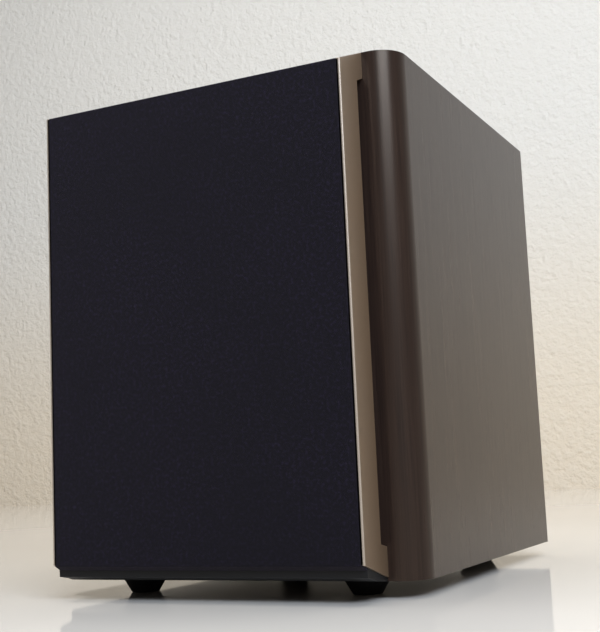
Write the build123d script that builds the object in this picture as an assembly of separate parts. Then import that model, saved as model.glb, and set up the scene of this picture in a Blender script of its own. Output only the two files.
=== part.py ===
from build123d import *
from math import cos, pi, radians, sin, tan
import os

# Free-standing home subwoofer, millimetres.
# Working frame: y = 0 is the front plane of the cabinet and +Y runs to its back, z = 0 is the
# underside of the cabinet, x = 0 is its middle. save() moves every piece so that the origin
# is the middle of the whole object's footprint, on the surface that the feet stand on.

# Cabinet: folded and wrapped MDF
CABINET_W = 284
CABINET_H = 350
CABINET_D = 313
PANEL = 15
BAFFLE = 18
POST_ROUND = 20
POST_INNER = 112
POST_BACK = 24
HALF_W = CABINET_W / 2
INSIDE_X = HALF_W - PANEL
INSIDE_TOP = CABINET_H - PANEL

# Feet
FOOT_H = 11.7
FOOT_TOP_R = 17
FOOT_BOTTOM_R = 10
FOOT_X = 89
FOOT_YS = (33, CABINET_D - 33)

# Front bezel: two cheeks, the frame between them and the grille
CHEEK_X = 118.1
CHEEK_WALL = 3.0
CHEEK_RIM = 0.9
BEZEL_DEPTH = 37.7
BEZEL_FRONT_LOW = 13.5
BEZEL_BACK_LOW = 2.5
BEZEL_FRONT_HIGH = 335
SLOT_DEPTH = 10
SLOT_LOW = 22
SLOT_LOW_FRONT = 24
TAB_HIGH = 18.5
FRAME_FRONT = -31.9
FRAME_X = 114.9
OPENING_X = 105
OPENING_LOW = 28
OPENING_HIGH = 319
GUSSET = 30
CHIN_X = 117.2
CHIN = ((0, 0), (-17.7, 2.1), (-22, 3.5), (-31.7, 5.4), (FRAME_FRONT, 9.5))
GRILLE_X = 117.0
GRILLE_BACK = -32.1
CLOTH = 0.7
PEG_R = 3.92
PEG_SPOTS = [(x, z) for x in (-100, 100) for z in (33, 314)]

# Woofer, an eight-inch driver whose axis lies along Y
WOOFER_Z = 215
CUTOUT_R = 93.5
FLANGE_R = 102
FLANGE_FRONT = -2.6
GASKET = 1.0
SCREW_CIRCLE_R = 98.2
ROLL_R = 84
CONE_EDGE_R = 73.6
NECK_R = 25.6
FORMER_WALL = 0.6
COIL_R = 27.0
POLE_R = 24.2
BASKET_END = 61.6
TOP_PLATE = 8
MAGNET = 20
BACK_PLATE = 8

# Reflex port
PORT_Z = 66
PORT_R = 30
PORT_WALL = 3
PORT_END = 150

# Amplifier on the rear panel
PLATE = 2
PLATE_X = 92
PLATE_LOW = 48
PLATE_HIGH = 298
WINDOW_X = 80
WINDOW_LOW = 60
WINDOW_HIGH = 286
REAR_PROUD = 16
BACK = CABINET_D
FACE = BACK + PLATE
TAIL = BACK + REAR_PROUD
ROW_Z = 178
KNOB_XS = {"volume": 52, "crossover": 12}
SLIDER_XS = {"phase": -24, "auto": -46}
SLIDER_TRAVEL = 4
JACK_XS = (52, 34, 16)
JACK_Z = 128
JACK_R = 4.15
INLET_X = 42
ROCKER_X = -40
SOCKET_Z = 84
ROCKER_TILT = 7
TOROID = (-42, 238)

PLACE = Pos(0, (BEZEL_DEPTH - TAIL) / 2, FOOT_H)


def block(x0, x1, y0, y1, z0, z1):
    """Box between two corners."""
    middle = Pos((x0 + x1) / 2, (y0 + y1) / 2, (z0 + z1) / 2)
    return middle * Box(x1 - x0, y1 - y0, z1 - z0)


def rod(radius, y0, y1, x=0.0, z=0.0):
    """Round bar along Y."""
    return Pos(x, (y0 + y1) / 2, z) * Rot(90, 0, 0) * Cylinder(radius, y1 - y0)


def upright(radius, z0, z1, x=0.0, y=0.0):
    """Round bar along Z."""
    return Pos(x, y, (z0 + z1) / 2) * Cylinder(radius, z1 - z0)


def side_slab(points, x0, x1):
    """Outline of (y, z) points, carried from x0 to x1."""
    face = make_face(Plane.YZ * Polyline(*points, close=True))
    return Pos(x0, 0, 0) * extrude(face, x1 - x0, dir=(1, 0, 0))


def turned(points):
    """Outline of (radius, y) points, turned about the woofer's axis."""
    face = make_face(Polyline(*points, close=True))
    return Pos(0, 0, WOOFER_Z) * revolve(face, Axis.Y)


def around(count, radius, z=0.0):
    """Evenly spaced (x, z) places on a circle about (0, z)."""
    turns = [2 * pi * (k + 0.5) / count for k in range(count)]
    return [(radius * cos(a), z + radius * sin(a)) for a in turns]


def together(shapes):
    """Separate solids that share one node."""
    return Compound([solid for shape in shapes for solid in shape.solids()])


def save(name, shape):
    placed = PLACE * shape
    placed.label = name
    export_step(placed, "parts/" + name + ".step")


def bezel_low(y):
    """Height of the cheeks' slanted lower edge at depth y."""
    slope = (BEZEL_BACK_LOW - BEZEL_FRONT_LOW) / BEZEL_DEPTH
    return BEZEL_BACK_LOW + slope * y


def bezel_high(y):
    """Height of the bezel's slanted upper edge at depth y."""
    slope = (CABINET_H - BEZEL_FRONT_HIGH) / BEZEL_DEPTH
    return CABINET_H + slope * y


def lead(points, radius):
    """Round lead along straight runs joined by arcs, each arc as large as its runs allow."""
    places = [Vector(*p) for p in points]
    radii = []
    for before, corner, after in zip(places, places[1:], places[2:]):
        one, two = corner - before, after - corner
        turn = radians(one.get_angle(two))
        radii.append(0.45 * min(one.length, two.length) / tan(turn / 2))
    path = FilletPolyline(*points, radius=radii)
    start = Plane(origin=path @ 0, z_dir=path % 0)
    return sweep(start * Circle(radius), path=path)


# --- Cabinet ---------------------------------------------------------------------------

SCREW_R = 1.9
PILOT_R = 1.95
WOOFER_SCREWS = around(8, SCREW_CIRCLE_R, WOOFER_Z)
BEZEL_SCREWS = PEG_SPOTS + [(0, 22), (0, 327)]
PLATE_SCREWS = [(x, z) for x in (-86, 86) for z in (54, 133, 213, 292)]
FOOT_SPOTS = [(x, y) for x in (-FOOT_X, FOOT_X) for y in FOOT_YS]
WOOFER_SCREW_END = 14
BEZEL_SCREW_TIP = -12
PLATE_SCREW_END = BACK - 12
FOOT_SCREW_END = 12
FOOT_RECESS = 5


def end_panel(low):
    """Top or bottom board, mitred at both sides, with rounded front corners."""
    plan = Rectangle(CABINET_W, CABINET_D, align=(Align.CENTER, Align.MIN))
    plan = fillet(plan.vertices().group_by(Axis.Y)[0], POST_ROUND)
    board = Pos(0, 0, low) * extrude(plan, PANEL)
    outer, inner = (0, PANEL) if low == 0 else (CABINET_H, INSIDE_TOP)
    wedge = make_face(Plane.XZ * Polyline((INSIDE_X, inner), (HALF_W, inner), (HALF_W, outer), close=True))
    wedge = extrude(wedge, CABINET_D, dir=(0, 1, 0))
    return board - wedge - mirror(wedge, Plane.YZ)


def side_panel(ends):
    """Right side board, with the solid rounded post along its front edge."""
    edge = Line((POST_INNER, 0), (HALF_W - POST_ROUND, 0))
    edge += RadiusArc((HALF_W - POST_ROUND, 0), (HALF_W, POST_ROUND), -POST_ROUND)
    edge += Polyline(
        (HALF_W, POST_ROUND),
        (HALF_W, CABINET_D),
        (INSIDE_X, CABINET_D),
        (INSIDE_X, POST_BACK),
        (POST_INNER, POST_BACK),
        (POST_INNER, 0),
    )
    board = extrude(make_face(edge), CABINET_H)
    for end in ends:
        board -= end
    return board


def baffle():
    board = block(-POST_INNER, POST_INNER, 0, BAFFLE, PANEL, INSIDE_TOP)
    board -= rod(CUTOUT_R, 0, BAFFLE, z=WOOFER_Z)
    board -= rod(PORT_R + PORT_WALL + 0.2, 0, BAFFLE, z=PORT_Z)
    for x, z in WOOFER_SCREWS:
        board -= rod(PILOT_R, 0, WOOFER_SCREW_END, x, z)
    for x, z in BEZEL_SCREWS:
        board -= rod(SCREW_R + 0.3, 0, BAFFLE, x, z)
    return board


def rear_board():
    board = block(-INSIDE_X, INSIDE_X, BACK - PANEL, BACK, PANEL, INSIDE_TOP)
    window = block(-WINDOW_X, WINDOW_X, BACK - PANEL, BACK, WINDOW_LOW, WINDOW_HIGH)
    board -= fillet(window.edges().filter_by(Axis.Y), 8)
    for x, z in PLATE_SCREWS:
        board -= rod(PILOT_R, PLATE_SCREW_END, BACK, x, z)
    return board


def foot(x, y):
    cone = Pos(x, y, -FOOT_H / 2) * Cone(FOOT_BOTTOM_R, FOOT_TOP_R, FOOT_H)
    cone -= upright(FOOT_RECESS, -FOOT_H, -FOOT_RECESS, x, y)
    cone -= upright(SCREW_R + 0.3, -FOOT_H, 0, x, y)
    return cone


def foot_screw(x, y):
    head = upright(3.8, -FOOT_RECESS - 2.4, -FOOT_RECESS, x, y)
    return head + upright(SCREW_R, -FOOT_RECESS, FOOT_SCREW_END, x, y)


def build_cabinet():
    top, bottom = end_panel(INSIDE_TOP), end_panel(0)
    right = side_panel((top, bottom))
    for x, y in FOOT_SPOTS:
        bottom -= upright(PILOT_R, 0, FOOT_SCREW_END, x, y)
    save("top_panel", top)
    save("bottom_panel", bottom)
    save("side_panel_right", right)
    save("side_panel_left", mirror(right, Plane.YZ))
    save("front_baffle", baffle())
    save("rear_panel", rear_board())
    brace = block(-INSIDE_X, INSIDE_X, POST_BACK, PORT_END, 102, 114)
    brace_window = block(-95, 95, 50, 125, 102, 114)
    save("shelf_brace", brace - fillet(brace_window.edges().filter_by(Axis.Z), 12))
    wadding = block(-108, 108, 70, 230, 308, INSIDE_TOP)
    save("damping_wadding", fillet(wadding.edges(), 8))
    save("feet", together(foot(x, y) for x, y in FOOT_SPOTS))
    save("foot_screws", together(foot_screw(x, y) for x, y in FOOT_SPOTS))


# --- Front bezel and grille ------------------------------------------------------------

SOCKET_DEPTH = 14
PEG_LENGTH = 12
PEG_PLAY = 0.08
STUB_R = 2.5
STUB = 3
RELIEF_X = 107.5
FRAME_WALL = 3
HOLLOW_LOW = 70
HOLLOW_HIGH = 280
GRILLE_BORDER = 12
GRILLE_BAR_Z = 108
GRILLE_BAR = 10
GRILLE_CORNER = 24


def cheek():
    """Right cheek: a slanted blade that meets the cabinet only at its top and bottom tabs."""
    outline = (
        (-BEZEL_DEPTH, BEZEL_FRONT_LOW),
        (0, BEZEL_BACK_LOW),
        (0, SLOT_LOW),
        (-SLOT_DEPTH, SLOT_LOW_FRONT),
        (-SLOT_DEPTH, bezel_high(-SLOT_DEPTH) - TAB_HIGH),
        (0, CABINET_H - TAB_HIGH),
        (0, CABINET_H),
        (-BEZEL_DEPTH, BEZEL_FRONT_HIGH),
    )
    blade = side_slab(outline, CHEEK_X - CHEEK_WALL, CHEEK_X)
    rebate_x = CHEEK_X - CHEEK_RIM
    blade -= block(CHEEK_X - CHEEK_WALL, rebate_x, -BEZEL_DEPTH, FRAME_FRONT, 0, CABINET_H)
    return blade


def frame_opening():
    """Opening of the bezel frame, with its four corners cut across."""
    window = block(-OPENING_X, OPENING_X, FRAME_FRONT, 0, OPENING_LOW, OPENING_HIGH)
    return chamfer(window.edges().filter_by(Axis.Y), GUSSET)


def bezel_frame():
    upper = ((FRAME_FRONT, bezel_high(FRAME_FRONT)), (0, CABINET_H))
    ring = side_slab(CHIN + upper, -FRAME_X, FRAME_X)
    lip = 0.3
    under = ((FRAME_FRONT, bezel_low(FRAME_FRONT) - lip), (0, BEZEL_BACK_LOW - lip))
    ring += side_slab(CHIN + under, -CHIN_X, CHIN_X)
    ring -= frame_opening()
    back_relief = block(RELIEF_X, CHIN_X, -SLOT_DEPTH, 0, SLOT_LOW, CABINET_H - TAB_HIGH)
    hollow_x, hollow_y = FRAME_X - FRAME_WALL, FRAME_FRONT + FRAME_WALL
    hollow = block(RELIEF_X, hollow_x, hollow_y, 0, HOLLOW_LOW, HOLLOW_HIGH)
    for cut in (back_relief, hollow):
        ring -= cut
        ring -= mirror(cut, Plane.YZ)
    for x, z in PEG_SPOTS:
        ring -= rod(PEG_R + PEG_PLAY, FRAME_FRONT, FRAME_FRONT + SOCKET_DEPTH, x, z)
    for x, z in BEZEL_SCREWS:
        ring -= rod(PILOT_R, BEZEL_SCREW_TIP, 0, x, z)
    return ring


def bezel_screw(x, z):
    return rod(3.8, BAFFLE, BAFFLE + 2.4, x, z) + rod(SCREW_R, BEZEL_SCREW_TIP, BAFFLE, x, z)


def grille_block(inset):
    """Body of the grille, made smaller by the cloth's thickness where inset is not zero."""
    outline = (
        (-BEZEL_DEPTH + inset, BEZEL_FRONT_LOW - 0.4 + inset),
        (GRILLE_BACK, 9.8 + inset),
        (GRILLE_BACK, bezel_high(GRILLE_BACK) - inset),
        (-BEZEL_DEPTH + inset, BEZEL_FRONT_HIGH - inset),
    )
    return side_slab(outline, -GRILLE_X + inset, GRILLE_X - inset)


def grille_frame():
    frame = grille_block(CLOTH)
    half = GRILLE_X - GRILLE_BORDER - 1
    low, high = BEZEL_FRONT_LOW + GRILLE_BORDER, BEZEL_FRONT_HIGH - GRILLE_BORDER
    bar_low, bar_high = GRILLE_BAR_Z - GRILLE_BAR / 2, GRILLE_BAR_Z + GRILLE_BAR / 2
    under = block(-half, half, -BEZEL_DEPTH, GRILLE_BACK, low, bar_low)
    over = block(-half, half, -BEZEL_DEPTH, GRILLE_BACK, bar_high, high)
    frame -= chamfer(under.edges().filter_by(Axis.Y).group_by(Axis.Z)[0], GRILLE_CORNER)
    frame -= chamfer(over.edges().filter_by(Axis.Y).group_by(Axis.Z)[-1], GRILLE_CORNER)
    for x, z in PEG_SPOTS:
        frame -= rod(STUB_R, GRILLE_BACK - STUB, GRILLE_BACK, x, z)
    return frame


def grille_peg(x, z):
    peg = rod(PEG_R, GRILLE_BACK, GRILLE_BACK + PEG_LENGTH, x, z)
    peg = chamfer(peg.edges().sort_by(Axis.Y)[-1], 1)
    return peg + rod(STUB_R, GRILLE_BACK - STUB, GRILLE_BACK, x, z)


def build_front():
    right = cheek()
    save("cheek_right", right)
    save("cheek_left", mirror(right, Plane.YZ))
    save("bezel_frame", bezel_frame())
    save("bezel_screws", together(bezel_screw(x, z) for x, z in BEZEL_SCREWS))
    save("grille_frame", grille_frame())
    save("grille_cloth", grille_block(0) - grille_block(CLOTH))
    save("grille_pegs", together(grille_peg(x, z) for x, z in PEG_SPOTS))


# --- Woofer ----------------------------------------------------------------------------

PLATE_START = BASKET_END
MAGNET_START = PLATE_START + TOP_PLATE
YOKE_START = MAGNET_START + MAGNET
YOKE_END = YOKE_START + BACK_PLATE
COIL_MIDDLE = PLATE_START + TOP_PLATE / 2
CONE_NECK = 36
CONE_SLOPE = (CONE_NECK - FLANGE_FRONT) / (CONE_EDGE_R - NECK_R)


def cone_front(radius):
    """Depth of the cone's front surface at a radius."""
    return FLANGE_FRONT + (CONE_EDGE_R - radius) * CONE_SLOPE


def basket():
    shell = turned(
        (
            (FLANGE_R, FLANGE_FRONT),
            (FLANGE_R, -GASKET),
            (91.5, -GASKET),
            (91.5, 12),
            (59.5, 51),
            (53.6, 51),
            (53.6, BASKET_END),
            (28.5, BASKET_END),
            (28.5, BASKET_END - 1.6),
            (52, BASKET_END - 1.6),
            (52, 49.4),
            (58.7, 49.4),
            (89.9, 11.4),
            (89.9, FLANGE_FRONT),
        )
    )
    opening = fillet(block(-19, 19, 17, 44, 58, 100).edges().filter_by(Axis.Z), 6)
    for k in range(6):
        shell -= Pos(0, 0, WOOFER_Z) * Rot(0, 90 + 60 * k, 0) * opening
    for x, z in WOOFER_SCREWS:
        shell -= rod(2.4, FLANGE_FRONT, -GASKET, x, z)
    return shell


def gasket():
    ring = turned(((CUTOUT_R, -GASKET), (FLANGE_R, -GASKET), (FLANGE_R, 0), (CUTOUT_R, 0)))
    for x, z in WOOFER_SCREWS:
        ring -= rod(2.4, -GASKET, 0, x, z)
    return ring


def woofer_screw(x, z):
    head = rod(3.3, FLANGE_FRONT - 2.6, FLANGE_FRONT, x, z)
    head = fillet(head.edges().sort_by(Axis.Y)[0], 1.2)
    return head + rod(SCREW_R, FLANGE_FRONT, WOOFER_SCREW_END, x, z)


def surround():
    """Half-roll rubber edge: outer lip, roll and inner lip."""
    wall = 1.2
    roll = Circle(6.6) - Circle(6.6 - wall)
    roll &= Rectangle(20, 10, align=(Align.CENTER, Align.MAX))
    section = Pos(ROLL_R, FLANGE_FRONT) * roll
    for low, high in ((CONE_EDGE_R, ROLL_R - 5.8), (ROLL_R + 5.8, 94.5)):
        lip = Rectangle(high - low, wall, align=(Align.MIN, Align.MAX))
        section += Pos(low, FLANGE_FRONT) * lip
    return Pos(0, 0, WOOFER_Z) * revolve(section, Axis.Y)


def cone():
    lip = 1.2
    return turned(
        (
            (ROLL_R - 6, FLANGE_FRONT),
            (ROLL_R - 6, FLANGE_FRONT + lip),
            (CONE_EDGE_R + 0.4, FLANGE_FRONT + lip),
            (NECK_R, CONE_NECK + lip),
            (NECK_R, CONE_NECK),
            (CONE_EDGE_R, FLANGE_FRONT),
        )
    )


def dust_cap():
    """Thin dome, cut back where its rim sits on the cone."""
    rim, rise, wall = 34, 11, 1
    ball = (rim**2 + rise**2) / (2 * rise)
    top = cone_front(rim) - rise
    dome = Sphere(ball) - Sphere(ball - wall)
    dome = Pos(0, top + ball, WOOFER_Z) * dome
    return (dome & rod(rim, top - 1, cone_front(rim - 2), z=WOOFER_Z)) - cone()


def spider():
    """Corrugated cloth disc between the coil former and the basket's ledge."""
    seat, wall, swell, folds = 48.4, 0.9, 1.5, 10
    inner, outer = 29, 51
    line = [(NECK_R, seat)]
    for k in range(folds + 1):
        radius = inner + (outer - inner) * k / folds
        line.append((radius, seat + (swell if k % 2 else -swell)))
    line += [(52.4, seat), (58, seat)]
    back = [(r, y + wall) for r, y in reversed(line)]
    return turned(line + back)


def yoke():
    pole = turned(
        (
            (6, PLATE_START),
            (POLE_R, PLATE_START),
            (POLE_R, YOKE_START),
            (52, YOKE_START),
            (52, YOKE_END - 2),
            (50, YOKE_END),
            (6, YOKE_END),
        )
    )
    return pole


def terminal_strip():
    board = block(54.2, 74, 53.4, 55, WOOFER_Z - 9, WOOFER_Z + 9)
    board += block(54.2, 58.6, 51, 53.4, WOOFER_Z - 4, WOOFER_Z + 4)
    tags = [block(66, 78, 55, 55.8, WOOFER_Z + z - 2, WOOFER_Z + z + 2) for z in (-6, 6)]
    return together([board] + tags)


def tinsel(side):
    z = WOOFER_Z + side * 6
    route = [(69, 53.4, z), (69, 38, z), (58, 33, z), (46, cone_front(46) + 1.9, z)]
    return lead(route, 0.6)


def build_woofer():
    save("basket", basket())
    save("basket_gasket", gasket())
    save("woofer_screws", together(woofer_screw(x, z) for x, z in WOOFER_SCREWS))
    save("surround", surround())
    front = FLANGE_FRONT - 1.2
    ring = ((91, front), (91, front - 2.5), (92, front - 3.2), (94.4, front - 3.2), (94.4, front))
    save("trim_ring", turned(ring))
    save("cone", cone())
    save("dust_cap", dust_cap())
    tube = rod(NECK_R, 34, 76, z=WOOFER_Z) - rod(NECK_R - FORMER_WALL, 34, 76, z=WOOFER_Z)
    save("coil_former", tube)
    start, end = COIL_MIDDLE - 10, COIL_MIDDLE + 10
    save("coil_winding", rod(COIL_R, start, end, z=WOOFER_Z) - rod(NECK_R, start, end, z=WOOFER_Z))
    save("spider", spider())
    washer = ((27.9, PLATE_START), (50, PLATE_START), (50, MAGNET_START), (27.9, MAGNET_START))
    save("top_plate", turned(washer))
    ferrite = ((33, MAGNET_START), (56, MAGNET_START), (56, YOKE_START), (33, YOKE_START))
    save("magnet_ring", turned(ferrite))
    save("pole_yoke", yoke())
    save("terminal_strip", terminal_strip())
    save("tinsel_leads", together(tinsel(side) for side in (-1, 1)))
    outer, flange_r = PORT_R + PORT_WALL, 38
    pipe = rod(outer, -3, PORT_END, z=PORT_Z) + rod(flange_r, -3, 0, z=PORT_Z)
    pipe -= rod(PORT_R, -3, PORT_END, z=PORT_Z)
    mouth = pipe.edges().filter_by(GeomType.CIRCLE).filter_by(lambda e: abs(e.radius - PORT_R) < 0.1)
    pipe = fillet(mouth.sort_by(Axis.Y)[0], 5)
    save("port_tube", pipe)


# --- Amplifier -------------------------------------------------------------------------

SHAFT_R = 3
SHAFT_START = 303
SHAFT_END = TAIL - 4
BUSH_R = 3.5
BUSH_END = FACE + 2.5
POT_R = 8.5
KNOB_R = 10
KNOB_TOP_R = 8.6
KNOB_START = FACE + 1.2
KNOB_SKIRT = FACE + 4
KNOB_END = TAIL - 1
SLOT_HALF = (2.3, 5.3)
LENS_X = -68
LENS_R = 2
JACK_END = TAIL - 4
NUT = 2
INLET_HALF = (14, 10.5)
INLET_CAVITY = (12.2, 8.2)
ROCKER_HALF = (6.5, 10)
PIN_START = 287
PIN_SPOTS = [(INLET_X + x, SOCKET_Z + z) for x, z in ((-7, -2), (7, -2), (0, 2))]
SINK_LOW = 212
SINK_HIGH = 280
SINK_X = 60
FINS = 15
FIN = 1.8
BOARD = 1.6
BOARD_Y = 286
INPUT_Y = 304
CAN_LENGTH = 36
LEAD_R = 1.3


def panel(half, middle, y0, y1, play=0.0):
    """Upright rectangular block about a middle on the rear panel, larger by the play."""
    (w, h), (x, z) = half, middle
    return block(x - w - play, x + w + play, y0, y1, z - h - play, z + h + play)


def hexagon(radius, y0, y1, x, z):
    """Hexagonal nut whose axis lies along Y."""
    return Pos(x, y1, z) * Rot(90, 0, 0) * extrude(RegularPolygon(radius, 6), y1 - y0)


def pot_body(x):
    """Potentiometer can with its threaded bush and nut, open for the shaft."""
    can = rod(POT_R, SHAFT_START, BACK, x, ROW_Z) + rod(BUSH_R, BACK, BUSH_END, x, ROW_Z)
    can += hexagon(5.4, FACE, FACE + NUT, x, ROW_Z)
    return can - rod(SHAFT_R + 0.05, SHAFT_START - 1, BUSH_END + 1, x, ROW_Z)


def knob(x):
    """Turned cap with a wider skirt, a recess for the nut and a raised pointer."""
    cap = rod(KNOB_R, KNOB_START, KNOB_SKIRT, x, ROW_Z)
    cap += rod(KNOB_TOP_R, KNOB_SKIRT, KNOB_END, x, ROW_Z)
    cap = fillet(cap.edges().filter_by(GeomType.CIRCLE).sort_by(Axis.Y)[-1], 1)
    cap += block(x - 0.8, x + 0.8, TAIL - 3, TAIL - 0.3, ROW_Z + 1, ROW_Z + 8.3)
    cap -= rod(6.8, KNOB_START, KNOB_SKIRT, x, ROW_Z)
    return cap - rod(SHAFT_R, KNOB_START, SHAFT_END, x, ROW_Z)


def slider(x):
    """Switch nub, resting at the lower end of its travel."""
    nub = block(x - 2, x + 2, 307, FACE + 4, ROW_Z - 5, ROW_Z + 1)
    return chamfer(nub.faces().sort_by(Axis.Y)[-1].edges(), 0.8)


def switch_body(x):
    return panel((5, 11), (x, ROW_Z), 304, BACK) - panel(SLOT_HALF, (x, ROW_Z), 306, BACK)


def jack_shell(x):
    sleeve = rod(JACK_R, BACK - NUT, JACK_END, x, JACK_Z)
    sleeve += hexagon(6.4, FACE, FACE + NUT, x, JACK_Z)
    return sleeve - rod(3.5, BACK - NUT, JACK_END, x, JACK_Z)


def jack_core(x):
    core = rod(3.45, INPUT_Y + BOARD, JACK_END - 1.5, x, JACK_Z)
    return core - rod(1.65, INPUT_Y + 4, JACK_END - 1.5, x, JACK_Z)


def inlet_pins():
    return [panel((1, 2), spot, PIN_START, FACE - 3) for spot in PIN_SPOTS]


def inlet():
    middle = (INLET_X, SOCKET_Z)
    flange = panel((25, 12), middle, FACE, FACE + 2.5)
    shell = fillet(flange.edges().filter_by(Axis.Y), 5)
    shell += panel(INLET_HALF, middle, 295, FACE)
    cavity = panel(INLET_CAVITY, middle, 299, FACE + 2.5)
    shell -= chamfer(cavity.edges().filter_by(Axis.Y).group_by(Axis.Z)[-1], 4)
    for pin in inlet_pins():
        shell -= pin
    for side in (-20, 20):
        shell -= rod(1.7, FACE, FACE + 2.5, INLET_X + side, SOCKET_Z)
    return shell


def rocker_housing():
    middle = (ROCKER_X, SOCKET_Z)
    rim = panel((8, 11.5), middle, FACE, FACE + 1.6)
    shell = fillet(rim.edges().filter_by(Axis.Y), 1.5)
    shell += panel(ROCKER_HALF, middle, 300, FACE)
    shell -= panel((5.3, 9), middle, 302, FACE + 1.6)
    return shell - Pos(ROCKER_X, FACE - 3, SOCKET_Z) * Rot(0, 90, 0) * Cylinder(1.06, 12.4)


def rocker():
    """See-saw paddle, resting with its lower end pressed in."""
    outline = ((-5, -4), (-5, 4), (2.4, 7.6), (5.4, 7.6), (3.6, 0), (5.4, -7.6), (2.4, -7.6))
    paddle = side_slab(outline, -5, 5) + Rot(0, 90, 0) * Cylinder(1, 12)
    return Pos(ROCKER_X, FACE - 3, SOCKET_Z) * Rot(ROCKER_TILT, 0, 0) * paddle


def amp_plate():
    sheet = block(-PLATE_X, PLATE_X, BACK, FACE, PLATE_LOW, PLATE_HIGH)
    sheet = fillet(sheet.edges().filter_by(Axis.Y), 6)
    for x, z in PLATE_SCREWS:
        sheet -= rod(SCREW_R + 0.3, BACK, FACE, x, z)
    for x in KNOB_XS.values():
        sheet -= rod(BUSH_R + 0.05, BACK, FACE, x, ROW_Z)
    for x in SLIDER_XS.values():
        sheet -= panel(SLOT_HALF, (x, ROW_Z), BACK, FACE)
    for x in JACK_XS:
        sheet -= rod(JACK_R + 0.05, BACK, FACE, x, JACK_Z)
    sheet -= panel(INLET_HALF, (INLET_X, SOCKET_Z), BACK, FACE, 0.1)
    sheet -= panel(ROCKER_HALF, (ROCKER_X, SOCKET_Z), BACK, FACE, 0.1)
    return sheet - rod(LENS_R + 0.05, BACK, FACE, LENS_X, ROW_Z)


def heatsink():
    sink = block(-SINK_X, SINK_X, FACE, FACE + 3, SINK_LOW, SINK_HIGH)
    pitch = (2 * SINK_X - FIN) / (FINS - 1)
    for k in range(FINS):
        x = -SINK_X + k * pitch
        sink += block(x, x + FIN, FACE + 3, TAIL, SINK_LOW, SINK_HIGH)
    return sink


def plate_screw(x, z):
    head = rod(3.8, FACE, FACE + 2.4, x, z)
    head = fillet(head.edges().sort_by(Axis.Y)[-1], 1.1)
    return head + rod(SCREW_R, PLATE_SCREW_END, FACE, x, z)


def toroid():
    x, z = TOROID
    ring = rod(36, 279, BACK, x, z) - rod(14, 279, BACK, x, z)
    outer = ring.edges().filter_by(GeomType.CIRCLE).filter_by(lambda e: e.radius > 30)
    return fillet(outer, 10)


def speaker_lead(drop):
    """From the amplifier's board, round the magnet, to a tag of the woofer."""
    z = WOOFER_Z + drop
    bend = drop / 2
    route = [(66 + bend, BOARD_Y, 204), (66 + bend, 250, 204), (92 + bend, 215, z - 8)]
    route += [(98 + bend, 150, z - 8), (90 + bend, 90, z), (73, 80, z), (73, 55.8, z)]
    return lead(route, LEAD_R)


def mains_lead(drop):
    """From a pin of the inlet to a tag of the rocker switch."""
    run = 268 - drop / 2
    start, end = INLET_X + drop, ROCKER_X + drop / 3
    route = [(start, PIN_START, SOCKET_Z - 2), (start, run, SOCKET_Z - 2)]
    route += [(end, run, SOCKET_Z + drop), (end, 300, SOCKET_Z + drop)]
    return lead(route, LEAD_R)


def build_amplifier():
    save("amp_plate", amp_plate())
    save("plate_screws", together(plate_screw(x, z) for x, z in PLATE_SCREWS))
    save("heatsink", heatsink())
    save("mains_inlet", inlet())
    save("inlet_pins", together(inlet_pins()))
    save("rocker_housing", rocker_housing())
    save("power_rocker", rocker())
    save("rca_shells", together(jack_shell(x) for x in JACK_XS))
    save("rca_insulators", together(jack_core(x) for x in JACK_XS))
    for name, x in KNOB_XS.items():
        save(name + "_knob", knob(x))
        save(name + "_shaft", rod(SHAFT_R, SHAFT_START, SHAFT_END, x, ROW_Z))
    save("pot_bodies", together(pot_body(x) for x in KNOB_XS.values()))
    for name, x in SLIDER_XS.items():
        save(name + "_slider", slider(x))
    save("switch_bodies", together(switch_body(x) for x in SLIDER_XS.values()))
    lens = rod(LENS_R, 309, FACE + 2, LENS_X, ROW_Z)
    save("status_lens", fillet(lens.edges().sort_by(Axis.Y)[-1], 1.6))
    save("main_board", block(-2, 74, BOARD_Y, BOARD_Y + BOARD, 192, 276))
    posts = [rod(3, BOARD_Y + BOARD, BACK, x, z) for x in (2, 70) for z in (196, 272)]
    save("board_standoffs", together(posts))
    cans = [rod(12.5, BOARD_Y - CAN_LENGTH, BOARD_Y, x, 232) for x in (18, 50)]
    save("capacitors", together(cans))
    save("input_board", block(6, 62, INPUT_Y, INPUT_Y + BOARD, 114, 142))
    x, z = TOROID
    save("toroid", toroid())
    save("toroid_washer", rod(22, 277, 279, x, z) - rod(SHAFT_R, 277, 279, x, z))
    save("toroid_bolt", rod(5.5, 272, 277, x, z) + rod(SHAFT_R, 277, BACK, x, z))
    save("speaker_leads", together(speaker_lead(drop) for drop in (-6, 6)))
    save("mains_leads", together(mains_lead(drop) for drop in (-7, 7)))


os.makedirs("parts", exist_ok=True)
build_cabinet()
build_front()
build_woofer()
build_amplifier()
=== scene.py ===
from math import cos, pi, radians, sin

import bmesh
import bpy
from mathutils import Matrix, Vector


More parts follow.
